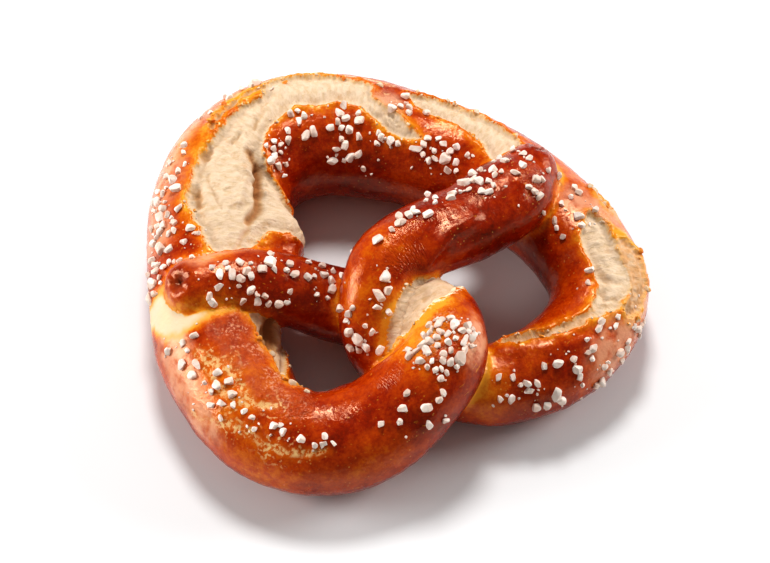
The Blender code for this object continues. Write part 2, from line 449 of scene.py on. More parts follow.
# wrinkled, blistered and cracked skin, and pinkish patches of painted sheen where light grazes the crust:
# place along, angle, reach in mm
skinPatches = {
    "wrinkled": [(509, 44, 6), (512, 88, 5), (99, 82, 6), (114, 64, 6), (506, 62, 5), (538, 100, 5)],
    "blistered": [(188, 78, 7), (178, 76, 7), (165, 72, 7), (153, 78, 7), (99, 84, 7), (378, 118, 4),
                  (554, 70, 4), (304, 100, 5)],
    "cracked": [(178, 106, 7), (170, 112, 7), (163, 132, 6), (152, 136, 6), (158, 94, 5), (304, 96, 5)],
    "paintedSheen": [(188, 142, 7), (180, 150, 7), (240, 150, 11), (256, 146, 8), (305, 94, 6), (4, 150, 7),
             (398, 152, 9), (412, 150, 9), (224, 150, 9), (376, 128, 6), (170, 156, 6), (97, 139, 5),
             (370, 104, 6)],
}
# paler (less than 0) and darker bakes, a few of them partly painted highlight: place along, angle, reach
# along, reach round in mm, change
bakes = [
    (100, 34, 14, 13, -0.45),
    (112, 196, 40, 12, 0.14),
    (440, 192, 40, 11, 0.12),
    (528, 60, 32, 20, 0.10),
    (106, 80, 12, 8, -0.10),
    (440, 96, 26, 6, -0.14),
    (445, 138, 7, 16, -0.55),
    # paler partly as a painted highlight
    (97, 138, 8, 8, -0.25),
    (236, 140, 30, 11, -0.20),
    (410, 150, 26, 9, -0.28),
    (168, 105, 26, 16, -0.24),
    (145, 168, 26, 9, -0.26),
    (30, 60, 34, 16, 0.02),
    # paler partly as a painted highlight
    (492, 95, 22, 12, -0.30),
    (272, 132, 30, 9, -0.30),
    (284, 60, 18, 7, -0.16),
    (395, 55, 22, 8, -0.10),
    (430, 130, 22, 14, 0.10),
    (120, 110, 22, 12, 0.06),
    # paler partly as a painted highlight
    (360, 90, 14, 20, -0.32),
    (380, 128, 9, 6, -0.35),
    (305, 98, 8, 7, -0.12),
    (540, 70, 16, 14, 0.10),
]
ends = [
    {"at": (-57.6, 9.6, 35.0), "way": (-0.63, 0.18, 0.75), "hollow": 3.0, "size": 2.7},
    {"at": (57.6, -3.2, 37.0), "way": (0.45, 0.55, 0.70), "hollow": 1.0, "size": 1.8},
]
# reach and dark are in sizes of the end, dark being how far the painted shade in the hollow reaches; the
# folds run in a swirl round it
navelMake = {"reach": 3.4, "folds": 6, "twist": 3.0, "foldDepth": 0.3, "dark": 1.25}


def raggedLine(points):
    ragged = rag["wide"] * fineNoise(points, rag["wideGrain"], 1, 3.1)
    return ragged + rag["fine"] * fineNoise(points, rag["fineGrain"], 2, 9.7)


def tornDepths(points, along, around):
    # mm inside the nearest tear, and what kind of crumb and lip it has
    depth = np.full(len(points), -farOff)
    wild = np.ones(len(points))
    lip = np.ones(len(points))
    edge = np.zeros(len(points))
    toast = np.zeros(len(points))
    for name, outline in tears.items():
        own = edgeDistance(outline, along, around)
        closer = own > depth
        depth = np.where(closer, own, depth)
        wild = np.where(closer, tearWild.get(name, 1.0), wild)
        lip = np.where(closer, lipLow.get(name, 1.0), lip)
        edge = np.where(closer, lipRidgeHighlight.get(name, 0.0), edge)
        toast = np.where(closer, toastedTears.get(name, 0.0), toast)
    depth = np.clip(depth + raggedLine(points) * (0.25 + 0.75 * wild), -9, 14)
    return depth, wild, lip, edge, toast


def meshEdges(mesh):
    flat = np.empty(len(mesh.edges) * 2, np.int32)
    mesh.edges.foreach_get("vertices", flat)
    return flat.reshape(-1, 2)


def strandSeams(edges, along, count):
    # points within a few steps of where one strand meets the next
    a, b = edges[:, 0], edges[:, 1]
    near = np.zeros(count, bool)
    near[edges[np.abs(along[a] - along[b]) > 20].ravel()] = True
    rings = [near]
    for _ in range(4):
        grown = rings[-1].copy()
        grown[a[rings[-1][b]]] = True
        grown[b[rings[-1][a]]] = True
        rings.append(grown)
    return rings


def evenOut(values, edges, chosen, rounds):
    a, b = edges[:, 0], edges[:, 1]
    links = np.bincount(a, minlength=len(values)) + np.bincount(b, minlength=len(values))
    for _ in range(rounds):
        around = np.bincount(a, values[b], len(values)) + np.bincount(b, values[a], len(values))
        values = np.where(chosen, 0.4 * values + 0.6 * around / links, values)
    return values


def patchShare(patches, along, around):
    share = np.zeros(len(along))
    for s, a, reach in patches:
        dx = along - s
        dy = np.radians(around - a) * radiusAt(along)
        share = np.maximum(share, np.exp(-((dx * dx + dy * dy) / reach ** 2) ** 1.5))
    return share


def bakeChange(along, around):
    change = np.zeros(len(along))
    for s, a, reachAlong, reachRound, amount in bakes:
        dx = (along - s) / reachAlong
        dy = np.radians(around - a) * radiusAt(along) / reachRound
        change += amount * np.exp(-(dx * dx + dy * dy) ** 1.2)
    return change


def subdivideNear(mesh, chosen):
    build = bmesh.new()
    build.from_mesh(mesh)
    build.verts.ensure_lookup_table()
    edges = [e for e in build.edges if chosen[e.verts[0].index] and chosen[e.verts[1].index]]
    bmesh.ops.subdivide_edges(build, edges=edges, cuts=1, use_grid_fill=True)
    bmesh.ops.triangulate(build, faces=[f for f in build.faces if len(f.verts) > 4])
    build.to_mesh(mesh)
    build.free()


def normalsOf(mesh):
    flat = np.empty(len(mesh.vertices) * 3, np.float32)
    mesh.vertex_normals.foreach_get("vector", flat)
    return flat.reshape(-1, 3).astype(float)


def endHollow(points, end):
    # the wrinkled navel where the rope was rolled to a tip, and how much painted shade falls into its
    # hollow
    way = Vector(end["way"]).normalized()
    across = way.cross(Vector((0, 0, 1))).normalized()
    upward = across.cross(way)
    off = points - np.array(end["at"])
    x = off @ np.array(across)
    y = off @ np.array(upward)
    r = np.hypot(x, y) / end["size"]
    near = np.exp(-(np.linalg.norm(off, axis=1) / (end["size"] * navelMake["reach"])) ** 4)
    swirl = np.sin(navelMake["folds"] * np.arctan2(y, x) + navelMake["twist"] * r)
    swirl *= np.exp(-((r - 1.1) / 0.8) ** 2)
    sunk = end["hollow"] * np.exp(-r ** 2) - 0.18 * np.exp(-((r - 1.8) / 0.6) ** 2)
    sunk += 1.1 * np.exp(-(r / 1.7) ** 2) * creases(fineNoise(points, 1.3, 2, 61.0))
    return near * (sunk + navelMake["foldDepth"] * swirl), near * np.exp(-(r / navelMake["dark"]) ** 2)


def creases(value):
    return 1 - 2 * np.abs(value) ** 0.8


def crumbRelief(points, along, aroundMm, depth):
    right = along > rightFrom
    kinds = [np.where(right, b, a) for a, b in zip(crumbKinds["left"], crumbKinds["right"])]
    slant, foldSize, bend, foldShare, grain = kinds
    warp = bend * fineNoise(points, 7.0, 2, 2.2)
    lengthwise = along + slant * aroundMm
    crosswise = aroundMm - slant * along
    none = np.zeros(len(along))
    folds = np.stack([lengthwise / foldSize + warp, crosswise / tearMake["foldLong"], none], 1)
    fibres = np.stack([lengthwise / 1.0 + 1.5 * warp, crosswise / tearMake["fibreLong"], none], 1)
    crumb = tearMake["foldDepth"] * foldShare * creases(fineNoise(folds, 1.0, 1, 4.0))
    patchy = np.clip(0.75 + 1.6 * fineNoise(points, 9.0, 1, 21.0), 0.15, 1.6)
    crumb += tearMake["fibreDepth"] * patchy * fineNoise(fibres, 1.0, 2, 6.0)
    crumb *= 0.2 + 0.8 * soft(depth, tearMake["calmFrom"], tearMake["calmTo"])
    crumb += 0.5 * fineNoise(points, 9.0, 1, 18.0)
    crumb += grain * fineNoise(points, 2.0, 3, 15.0)
    return crumb


def sunkDepths(points, along, around):
    # the pits and the crevices
    sunk = np.zeros(len(along))
    bendA = 1.3 * fineNoise(points, 3.0, 2, 41.0)
    bendB = 1.3 * fineNoise(points, 3.0, 2, 53.0)
    for s, a, halfLong, halfWide, deep in pits:
        dx = (along - s + bendA) / halfLong
        dy = (np.radians(around - a) * radiusAt(along) + bendB) / halfWide
        sunk += deep * np.exp(-(dx * dx + dy * dy) ** 1.6)
    for line, deep, halfWide in crevices:
        off = lineDistance([line], along + bendA, around) + 0.3 * bendB
        sunk += deep * np.exp(-(off / halfWide) ** 2)
    return sunk


def reliefHeights(points, along, around, depth, wild, lip):
    make = tearMake
    aroundMm = np.radians(around) * radiusAt(along)
    lumps = sum(high * fineNoise(points, grain, octaves, shift)
                for grain, octaves, shift, high in lumpSizes)
    rim = make["rimHeight"] * np.exp(-((depth + make["rimOut"]) / make["rimWidth"]) ** 2)
    rim *= np.clip(0.7 + 1.3 * fineNoise(points, 3.0, 1, 7.0), 0, 2)
    lift = make["lift"] * np.exp(np.minimum(depth, 0) / make["liftReach"])
    inside = soft(depth, make["crumbFrom"], make["crumbFull"])
    swell = make["crumbSwell"] * soft(depth, make["swellFrom"], make["swellTo"])
    crumb = crumbRelief(points, along, aroundMm, depth)
    sunk = sunkDepths(points, along, around)
    drop = make["crustThick"] * (1 - make["lipShare"] + make["lipShare"] * lip)
    height = lumps * (1 - 0.5 * inside) + (rim + lift) * lip * (1 - inside)
    height += inside * (swell - drop + crumb * wild)
    height -= sunk * soft(depth, -1.5, 1.0)
    return height, sunk


def addValues(mesh, name, values):
    layer = mesh.attributes.new(name, "FLOAT", "POINT")
    layer.data.foreach_set("value", np.asarray(values, np.float32))


def refine(mesh, isFine, seamRing):
    # splits the faces in half in and near the tears and along the seams of the strands
    points = pointsOf(mesh)
    along, around, _ = ropePlaces(points)
    fine = isFine(tornDepths(points, along, around)[0])
    fine |= strandSeams(meshEdges(mesh), along, len(points))[seamRing]
    subdivideNear(mesh, fine & (points[:, 2] > fineMesh["floorClear"]))


def skinValues(points, edges):
    # what the relief and the material need to know at each point
    along, around, toNext = ropePlaces(points)
    depth, wild, lip, edge, toast = tornDepths(points, along, around)
    seams = strandSeams(edges, along, len(points))
    pale = np.full(len(points), -farOff)
    for outline in paleDough.values():
        pale = np.maximum(pale, edgeDistance(outline, along, around))
    pale = np.clip(pale + 1.0 * fineNoise(points, 4.0, 2, 8.0), -9, 9)
    wide = seams[4]
    values = {
        "torn": evenOut(depth, edges, seams[3], 10),
        "pale": evenOut(pale, edges, wide, 14),
        "bake": evenOut(bakeChange(along, around), edges, wide, 10),
        "crack": lineDistance(stretchCracks, along, around) + 0.9 * fineNoise(points, 2.2, 2, 31.0),
        "toNext": toNext,
        "toasted": toast,
    }
    for name, patches in skinPatches.items():
        values[name] = patchShare(patches, along, around)
    wild = evenOut(wild, edges, wide, 10) * (1 - 0.8 * seams[2])
    lip = evenOut(lip, edges, wide, 10)
    return along, around, values, wild, lip, edge, wide


def raiseSkin(mesh, points, edges, height, torn):
    grip = soft(points[:, 2], 0.3, 2.0)         # the foot stays flat
    points = points + normalsOf(mesh) * (height * grip)[:, None]
    nearLip = np.abs(torn) < 1.4
    points = np.stack([evenOut(points[:, k], edges, nearLip, 3) for k in range(3)], 1)
    points[:, 2] = np.maximum(points[:, 2], 0)
    mesh.vertices.foreach_set("co", (points * mm).astype(np.float32).ravel())
    mesh.update()


def makePretzel():
    mesh = fusedMesh()
    print("dough fused:", len(mesh.polygons), "faces")
    refine(mesh, lambda depth: depth > -fineMesh["tearReach"], 2)
    refine(mesh, lambda depth: np.abs(depth + fineMesh["lipMiddle"]) < fineMesh["lipReach"], 1)
    print("tears cut:", len(mesh.polygons), "faces")

    points = pointsOf(mesh)
    edges = meshEdges(mesh)
    along, around, values, wild, lip, edge, seam = skinValues(points, edges)
    torn = values["torn"]
    height, sunk = reliefHeights(points, along, around, torn, wild, lip)
    height += edge * np.exp(-((torn - tearMake["brightRim"]) / tearMake["brightWidth"]) ** 2)
    for line, high, halfWide in ridges:
        off = lineDistance([line], along, around) + 0.8 * fineNoise(points, 3.0, 2, 71.0)
        height += high * np.exp(-(off / halfWide) ** 2)
    height -= 0.25 * np.exp(-(np.maximum(values["crack"], 0) / 0.6) ** 2)
    height = evenOut(height, edges, seam, 8)
    # navel: a share of painted shade in the hollows at the ends
    navel = np.zeros(len(points))
    for end in ends:
        hollow, shade = endHollow(points, end)
        height -= hollow
        navel = np.maximum(navel, shade)
    raiseSkin(mesh, points, edges, height, torn)
    print("relief raised")

    # hollow: how deep the pits and crevices sink, which sets the painted shade in the crumb
    values["hollow"] = sunk
    values["navel"] = navel
    # a painted highlight along the raised lip of the web
    values["lipHighlight"] = edge * np.exp(-((torn - 0.35) / 0.55) ** 2)
    for name, value in values.items():
        addValues(mesh, name, value)
    ropePlane = np.stack([along, np.radians(around) * radiusAt(along), np.zeros(len(along))], 1)
    place = mesh.attributes.new("ropePlane", "FLOAT_VECTOR", "POINT")
    place.data.foreach_set("vector", ropePlane.astype(np.float32).ravel())
    mesh.polygons.foreach_set("use_smooth", [True] * len(mesh.polygons))
    mesh.name = "pretzel"
    pretzel = bpy.data.objects.new("pretzelBread", mesh)
    bpy.context.scene.collection.objects.link(pretzel)
    triangles = sum(len(p.vertices) - 2 for p in mesh.polygons)
    print("bread shaped:", triangles, "triangles")
    return pretzel


# materials
def paint(r, g, b):
    # everyday 0 to 255 colour values as the shader wants them
    shares = [c / 255 for c in (r, g, b)]
    return tuple(s / 12.92 if s <= 0.04 else ((s + 0.055) / 1.055) ** 2.4 for s in shares) + (1.0,)


class Nodes:
    def __init__(self, name):
        self.material = bpy.data.materials.new(name)
        self.material.use_nodes = True
        self.tree = self.material.node_tree
        self.shader = self.tree.nodes["Principled BSDF"]

    def add(self, kind, inputs=None, **settings):
        node = self.tree.nodes.new(kind)
        for key, value in settings.items():
            setattr(node, key, value)
        for key, value in (inputs or {}).items():
            self.put(node.inputs[key], value)
        return node

    def put(self, socket, value):
        if isinstance(value, bpy.types.NodeSocket):
            self.tree.links.new(value, socket)
        else:
            socket.default_value = value

    def place(self):
        return self.add("ShaderNodeTexCoord").outputs["Object"]

    def value(self, name):
        return self.add("ShaderNodeAttribute", attribute_name=name).outputs["Fac"]

    def vector(self, name):
        return self.add("ShaderNodeAttribute", attribute_name=name).outputs["Vector"]

    def set(self, name, value):
        self.put(self.shader.inputs[name], value)

    def times(self, a, b):
        return self.add("ShaderNodeMath", {0: a, 1: b}, operation="MULTIPLY").outputs[0]

    def plus(self, a, b):
        return self.add("ShaderNodeMath", {0: a, 1: b}, operation="ADD").outputs[0]

    def spread(self, value, low, high, toLow=0.0, toHigh=1.0):
        ends = {"Value": value, "From Min": low, "From Max": high, "To Min": toLow, "To Max": toHigh}
        return self.add("ShaderNodeMapRange", ends, interpolation_type="SMOOTHSTEP").outputs["Result"]

    def mix(self, share, a, b, blend="MIX"):
        node = self.add("ShaderNodeMix", data_type="RGBA", blend_type=blend)
        self.put(node.inputs[0], share)
        self.put(node.inputs[6], a)
        self.put(node.inputs[7], b)
        return node.outputs[2]

    def grain(self, scale, detail=3.0, rough=0.55, vector=None):
        node = self.add("ShaderNodeTexNoise", {"Scale": scale, "Detail": detail, "Roughness": rough})
        self.put(node.inputs["Vector"], vector or self.place())
        return node.outputs["Fac"]

    def ramp(self, value, stops):
        node = self.add("ShaderNodeValToRGB", {"Fac": value})
        marks = node.color_ramp.elements
        while len(marks) < len(stops):
            marks.new(0.5)
        for mark, (place, colour) in zip(marks, stops):
            mark.position = place
            mark.color = colour
        return node.outputs["Color"]


crustLook = {
    "amber": paint(234, 160, 46),
    "orange": paint(218, 112, 10),
    "chestnut": paint(190, 68, 3),
    "mahogany": paint(150, 33, 0),
    "deep": paint(92, 13, 0),
    # a pinkish painted sheen standing in for grazing reflections, also the colour of the painted glints
    "paintedSheen": paint(232, 168, 132),
    # painted shade in the navel's hollow
    "navel": paint(104, 44, 22),
    "roughness": 0.16,
    "gloss": 0.6,
    "glossTint": (1.0, 0.60, 0.36, 1.0),
}
crumbLook = {
    "light": paint(231, 206, 178),
    "middle": paint(217, 189, 154),
    "tan": paint(196, 150, 100),
    "hollowShade": paint(150, 92, 46),
    "toasted": paint(212, 146, 78),
    "roughness": 0.85,
}
# rim: a painted highlight along the raised lip of a tear
paleLook = {"cream": paint(230, 206, 168), "butter": paint(228, 178, 96), "rim": paint(255, 240, 205),
            "crack": paint(240, 200, 138)}


def bakedColour(n, torn, paleness):
    # how far the crust is baked: less near tears, pale dough and the next strand
    nearTear = n.spread(n.times(torn, -1.0), 0.0, 4.5, 0.42, 1.0)
    nearPale = n.spread(n.times(paleness, -1.0), 0.0, 3.6)
    nearNext = n.spread(n.value("toNext"), 0.3, 4.5, 0.35, 1.0)
    baked = n.times(n.times(nearTear, nearPale), nearNext)
    baked = n.times(baked, 0.66)
    baked = n.plus(baked, n.value("bake"))
    height = n.add("ShaderNodeSeparateXYZ", {"Vector": n.place()}).outputs["Z"]
    baked = n.plus(baked, n.spread(height, 0.001, 0.010, -0.08, 0.0))
    baked = n.plus(baked, n.spread(n.grain(60.0, 2.0), 0.3, 0.7, -0.13, 0.13))
    baked = n.plus(baked, n.spread(n.grain(300.0, 4.0, 0.6), 0.3, 0.7, -0.10, 0.10))
    baked = n.plus(baked, n.spread(n.grain(1100.0, 2.0, 0.6), 0.35, 0.65, -0.05, 0.05))
    return n.ramp(baked, [
        (0.0, crustLook["amber"]), (0.22, crustLook["orange"]), (0.46, crustLook["chestnut"]),
        (0.72, crustLook["mahogany"]), (1.0, crustLook["deep"])])


def crustMarks(n, crust, plane):
    # thin yellow stretch cracks
    crackBreaks = n.spread(n.grain(700.0, 5.0, 0.7), 0.44, 0.56)
    crack = n.times(n.spread(n.value("crack"), 1.4, 0.4), crackBreaks)
    glow = n.spread(n.value("crack"), 3.2, 0.4, 0.0, 0.45)
    crust = n.mix(glow, crust, crustLook["orange"])
    crust = n.mix(n.times(crack, 0.82), crust, paleLook["crack"])
    # pale flecks and specks
    fleckMap = n.add("ShaderNodeMapping", {"Vector": plane, "Scale": (0.5, 0.8, 1.0)})
    fleck = n.spread(n.grain(1.0, 3.0, 0.65, fleckMap.outputs["Vector"]), 0.63, 0.74)
    crust = n.mix(n.times(fleck, 0.5), crust, crustLook["amber"])
    specks = n.add("ShaderNodeTexVoronoi", {"Vector": n.place(), "Scale": 620.0})
    speckPatch = n.spread(n.grain(120.0), 0.46, 0.66)
    speck = n.times(n.spread(specks.outputs["Distance"], 0.20, 0.10), speckPatch)
    crust = n.mix(n.times(speck, 0.55), crust, paleLook["butter"])
    # a web of pale cracks, a pinkish painted sheen in patches and painted glints on blisters
    web = n.add("ShaderNodeTexVoronoi", {"Vector": n.place(), "Scale": 240.0}, feature="DISTANCE_TO_EDGE")
    webBend = n.spread(n.grain(800.0, 4.0), 0.3, 0.7, -0.05, 0.16)
    webLine = n.spread(n.plus(web.outputs["Distance"], webBend), 0.10, 0.03)
    webShare = n.times(webLine, n.spread(n.value("cracked"), 0.2, 0.8))
    webShare = n.times(webShare, n.spread(n.grain(190.0, 3.0), 0.42, 0.56))
    crust = n.mix(n.times(webShare, 0.7), crust, paleLook["crack"])
    sheenBreakup = n.spread(n.grain(260.0, 4.0), 0.3, 0.6, 0.15, 0.8)
    sheenShare = n.times(n.spread(n.value("paintedSheen"), 0.1, 0.9), sheenBreakup)
    crust = n.mix(sheenShare, crust, crustLook["paintedSheen"])
    # painted glints: specks of the painted sheen colour on the blistered patches
    paintedGlints = n.spread(n.value("blistered"), 0.3, 0.9)
    paintedGlints = n.times(paintedGlints, n.spread(n.grain(1250.0, 3.0), 0.48, 0.62))
    paintedGlints = n.times(paintedGlints, n.spread(n.grain(230.0, 3.0), 0.42, 0.60))
    crust = n.mix(n.times(paintedGlints, 0.8), crust, crustLook["paintedSheen"])
    # painted shade darkens the navel's hollow
    return n.mix(n.times(n.value("navel"), 0.85), crust, crustLook["navel"])


def paleColour(n, paleness):
    # pale dough that never browned
    pale = n.mix(n.spread(n.grain(120.0, 3.0), 0.35, 0.7), paleLook["cream"], crumbLook["light"])
    return n.mix(n.spread(paleness, 1.2, -0.8), pale, paleLook["butter"])


def crumbColour(n, torn, fibre):
    # the torn crumb: toasted in some tears, with painted shade in the hollows and a painted highlight along
    # the lip
    crumb = n.mix(n.spread(fibre, 0.36, 0.62), crumbLook["middle"], crumbLook["light"])
    crumb = n.mix(n.spread(n.grain(260.0, 5.0, 0.65), 0.52, 0.72, 0.0, 0.5), crumb, crumbLook["tan"])
    toastPatch = n.spread(n.grain(420.0, 4.0, 0.6), 0.3, 0.6, 0.3, 1.0)
    crumb = n.mix(n.times(n.value("toasted"), toastPatch), crumb, crumbLook["toasted"])
    crumb = n.mix(n.spread(n.value("hollow"), 0.2, 1.3, 0.0, 0.75), crumb, crumbLook["tan"])
    crumb = n.mix(n.spread(n.value("hollow"), 0.9, 2.2, 0.0, 0.85), crumb, crumbLook["hollowShade"])
    crumb = n.mix(n.spread(torn, 0.8, 0.1, 0.0, 0.5), crumb, paleLook["butter"])
    return n.mix(n.spread(n.value("lipHighlight"), 0.2, 0.8), crumb, paleLook["rim"])


def breadBump(n, plane, fibre, tornShare):
    # fine relief: wrinkles across the strand, little blisters, fibres in the crumb
    wrinkleMap = n.add("ShaderNodeMapping", {"Vector": plane, "Scale": (1.9, 0.6, 1.0)})
    wrinkle = n.grain(1.0, 2.0, 0.5, wrinkleMap.outputs["Vector"])
    skin = n.times(wrinkle, n.spread(n.value("wrinkled"), 0.1, 0.8, 0.1, 1.1))
    blister = n.spread(n.value("blistered"), 0.1, 0.8, 0.45, 3.6)
    skin = n.plus(skin, n.times(n.grain(950.0, 3.0, 0.6), blister))
    skin = n.plus(skin, n.times(n.grain(330.0, 3.0, 0.55), 0.5))
    crumbGrain = n.times(n.grain(1300.0, 5.0, 0.7), 0.7)
    crumbSkin = n.plus(n.times(fibre, 1.5), crumbGrain)
    skinBump = n.add("ShaderNodeBump", {"Height": skin, "Distance": 0.00035, "Strength": 0.8})
    crumbBump = n.add("ShaderNodeBump", {"Height": crumbSkin, "Distance": 0.00042, "Strength": 0.8})
    blend = n.add("ShaderNodeMix", data_type="VECTOR")
    n.put(blend.inputs[0], tornShare)
    n.put(blend.inputs[4], skinBump.outputs["Normal"])
    n.put(blend.inputs[5], crumbBump.outputs["Normal"])
    return blend.outputs[1]


def breadMaterial():
    n = Nodes("bakedBread")
    look = crustLook
    torn = n.value("torn")
    paleness = n.value("pale")
    plane = n.vector("ropePlane")
    crust = crustMarks(n, bakedColour(n, torn, paleness), plane)
    crust = n.mix(n.spread(paleness, -1.4, 0.2), crust, paleColour(n, paleness))
    stretch = n.add("ShaderNodeMapping",
                    {"Vector": plane, "Scale": (0.55, 0.2, 1.0), "Rotation": (0, 0, 0.7)})
    fibre = n.grain(1.5, 5.0, 0.65, stretch.outputs["Vector"])
    crumb = crumbColour(n, torn, fibre)
    lip = n.plus(torn, n.spread(n.grain(1500.0, 2.0), 0.3, 0.7, -0.2, 0.2))
    tornShare = n.spread(lip, -0.15, 0.2)
    n.set("Base Color", n.mix(tornShare, crust, crumb))

    crustRough = n.spread(n.grain(280.0, 3.0), 0.3, 0.7, look["roughness"] - 0.04, look["roughness"] + 0.12)
    crustRough = n.spread(paleness, -2.0, 0.5, crustRough, 0.62)
    n.set("Roughness", n.spread(tornShare, 0.0, 1.0, crustRough, crumbLook["roughness"]))
    n.set("Specular IOR Level", look["gloss"])
    n.set("Specular Tint", look["glossTint"])
    n.set("Normal", breadBump(n, plane, fibre, tornShare))
    return n.material


def crumbMaterial():
    n = Nodes("brokenCrust")
    tint = n.ramp(n.grain(330.0, 2.0), [
        (0.36, crumbLook["light"]), (0.46, crumbLook["middle"]), (0.54, crustLook["amber"]),
        (0.64, crustLook["orange"])])
    n.set("Base Color", tint)
    n.set("Roughness", 0.6)
    bump = n.add("ShaderNodeBump", {"Height": n.grain(1800.0, 3.0), "Distance": 0.0002, "Strength": 0.6})
    n.set("Normal", bump.outputs["Normal"])
    return n.material


def saltMaterial():
    n = Nodes("coarseSalt")
    tint = n.mix(n.spread(n.grain(260.0, 2.0), 0.35, 0.65), paint(250, 236, 224), paint(232, 206, 188))
    n.set("Base Color", tint)
    n.set("Roughness", 0.42)
    n.set("Subsurface Weight", 0.25)
    n.set("Subsurface Radius", (0.0012, 0.0010, 0.0009))
    bump = n.add("ShaderNodeBump", {"Height": n.grain(1500.0, 3.0), "Distance": 0.0002, "Strength": 0.5})
    n.set("Normal", bump.outputs["Normal"])
    return n.material


# salt
# patches of grains: from and to along the rope, from and to round it, how many
saltPatches = [
    (2, 26, 20, 98, 26), (18, 42, 70, 118, 14), (33, 38, 55, 75, 2), (95, 106, 60, 130, 44),
    (104, 126, 95, 168, 9), (140, 151, 114, 124, 5), (150, 161, 106, 128, 5), (162, 171, 102, 136, 6),
    (171, 191, 100, 146, 12), (205, 216, 130, 165, 8), (210, 224, 98, 152, 17), (222, 248, 117, 152, 26),
    (248, 272, 122, 140, 8), (253, 263, 28, 66, 9), (262, 282, 52, 80, 9), (287, 306, 24, 82, 20),
    (305, 321, 54, 64, 5), (307, 320, 86, 113, 7), (317, 335, 42, 76, 14), (360, 379, 60, 112, 15),
    (395, 402, 68, 76, 2), (406, 417, 98, 128, 6), (415, 424, 112, 182, 7), (400, 421, 148, 178, 12),
    (423, 443, 110, 150, 12), (428, 436, 150, 178, 4), (480, 492, 95, 156, 12), (491, 500, 58, 82, 5),
    (506, 519, 88, 118, 8), (522, 534, 105, 142, 7), (535, 561, 82, 132, 22), (545, 556, 50, 72, 3),
]
# sizes in mm: half a grain's width before it is cut flat and stretched; lift is a share of that
saltMake = {
    "smallest": 0.65, "largest": 1.7, "usual": 1.0,
    "gap": 0.86,            # neighbours keep this share of both their sizes apart
    "lift": 0.34, "lean": 0.25,
    "tries": 60,
    "clearOfTears": 0.3,    # mm of crust left free beside a tear
    "seed": 11,
}
dustMake = {"count": 300, "smallest": 0.18, "largest": 0.55, "lift": 0.3, "lean": 0.3, "seed": 29,
            "strayAlong": 2, "strayRound": 8}
crumbMake = {"count": 130, "smallest": 0.2, "largest": 0.75, "usual": 0.35, "lift": 0.2, "seed": 47,
             "flakeLean": 0.4, "lean": 0.5}
# bigger flakes: place along, angle, size in mm
flakes = [
    (369.5, 137, 1.7), (371.5, 141, 1.4), (373.5, 143, 1.1), (367.5, 134, 1.0), (277, 122, 1.1),
    (291, 121, 0.9),
    (301, 119, 1.0), (157, 58, 1.3), (161, 57, 1.0), (165, 52, 0.9), (175, 51, 1.1), (181, 58, 1.2),
    (388, 150, 1.2), (396, 156, 1.1), (404, 148, 1.0), (447, 100, 1.1), (446, 92, 0.9), (262, 123, 0.9),
    (312, 125, 0.9), (330, 128, 1.1), (343, 121, 1.0), (228, 108, 0.9), (256, 118, 1.0), (151, 60, 0.9),
]


def ballShape(rounds):
    build = bmesh.new()
    bmesh.ops.create_icosphere(build, subdivisions=rounds, radius=1.0)
    points = np.array([v.co for v in build.verts])
    faces = np.array([[v.index for v in f.verts] for f in build.faces])
    build.free()
    return points, faces


def chunk(ball, place, outward, size, dice):
    # a ball cut flat by a dozen uneven planes, then turned to lie on the skin
    points = ball.copy()
    for k in range(11):
        way = np.zeros(3)
        if k < 6:
            way[k // 2] = 1 - 2 * (k % 2)
        way += [dice.gauss(0, 0.3 if k < 6 else 1.0) for _ in range(3)]
        way /= np.linalg.norm(way)
        over = np.maximum(points @ way - dice.uniform(0.52, 0.86), 0)
        points -= over[:, None] * way
    points *= [dice.uniform(1.0, 1.7), dice.uniform(0.9, 1.25), dice.uniform(0.75, 1.05)]
    turn = outward.to_track_quat("Z", "Y").to_matrix() @ Matrix.Rotation(dice.uniform(0, math.tau), 3, "Z")
    return points @ np.array(turn).T * size + np.array(place)


def joinChunks(name, chunks, faces):
    count = len(chunks[0])
    allFaces = np.concatenate([faces + i * count for i in range(len(chunks))])
    mesh = bpy.data.meshes.new(name)
    mesh.from_pydata(np.concatenate(chunks).tolist(), [], allFaces.tolist())
    mesh.polygons.foreach_set("use_smooth", [True] * len(allFaces))
    mesh.set_sharp_from_angle(angle=math.radians(26))
    return bpy.data.objects.new(name, mesh)


def ropePoint(along, angle):
    i = np.interp(along, lengths, np.arange(len(lengths)))
    low = int(i)
    high = min(low + 1, len(rows) - 1)
    share = i - low
    row = rows[low] * (1 - share) + rows[high] * share
    side = sidesOut[low] * (1 - share) + sidesOut[high] * share
    up = ups[low] * (1 - share) + ups[high] * share
    turn = math.radians(angle)
    outward = side * math.cos(turn) * row[3] + up * math.sin(turn) * row[4]
    return Vector(row[:3] * mm), Vector(outward * mm)


def findSkin(tree, along, angle):
    # the bread's surface at a place on the rope, from outside inwards
    centre, outward = ropePoint(along, angle)
    start = centre + outward * 1.9
    hit, normal, face, _ = tree.ray_cast(start, -outward.normalized(), outward.length * 1.6)
    if hit is None or normal.z < -0.2:
        return None
    if (hit - centre).length < outward.length * 0.72:
        return None
    return hit, normal, face


def skinTree(mesh):
    return BVHTree.FromPolygons([v.co for v in mesh.vertices], [tuple(p.vertices) for p in mesh.polygons])


def leaning(normal, dice, amount):
    return (normal + Vector([dice.gauss(0, amount) for _ in range(3)])).normalized()


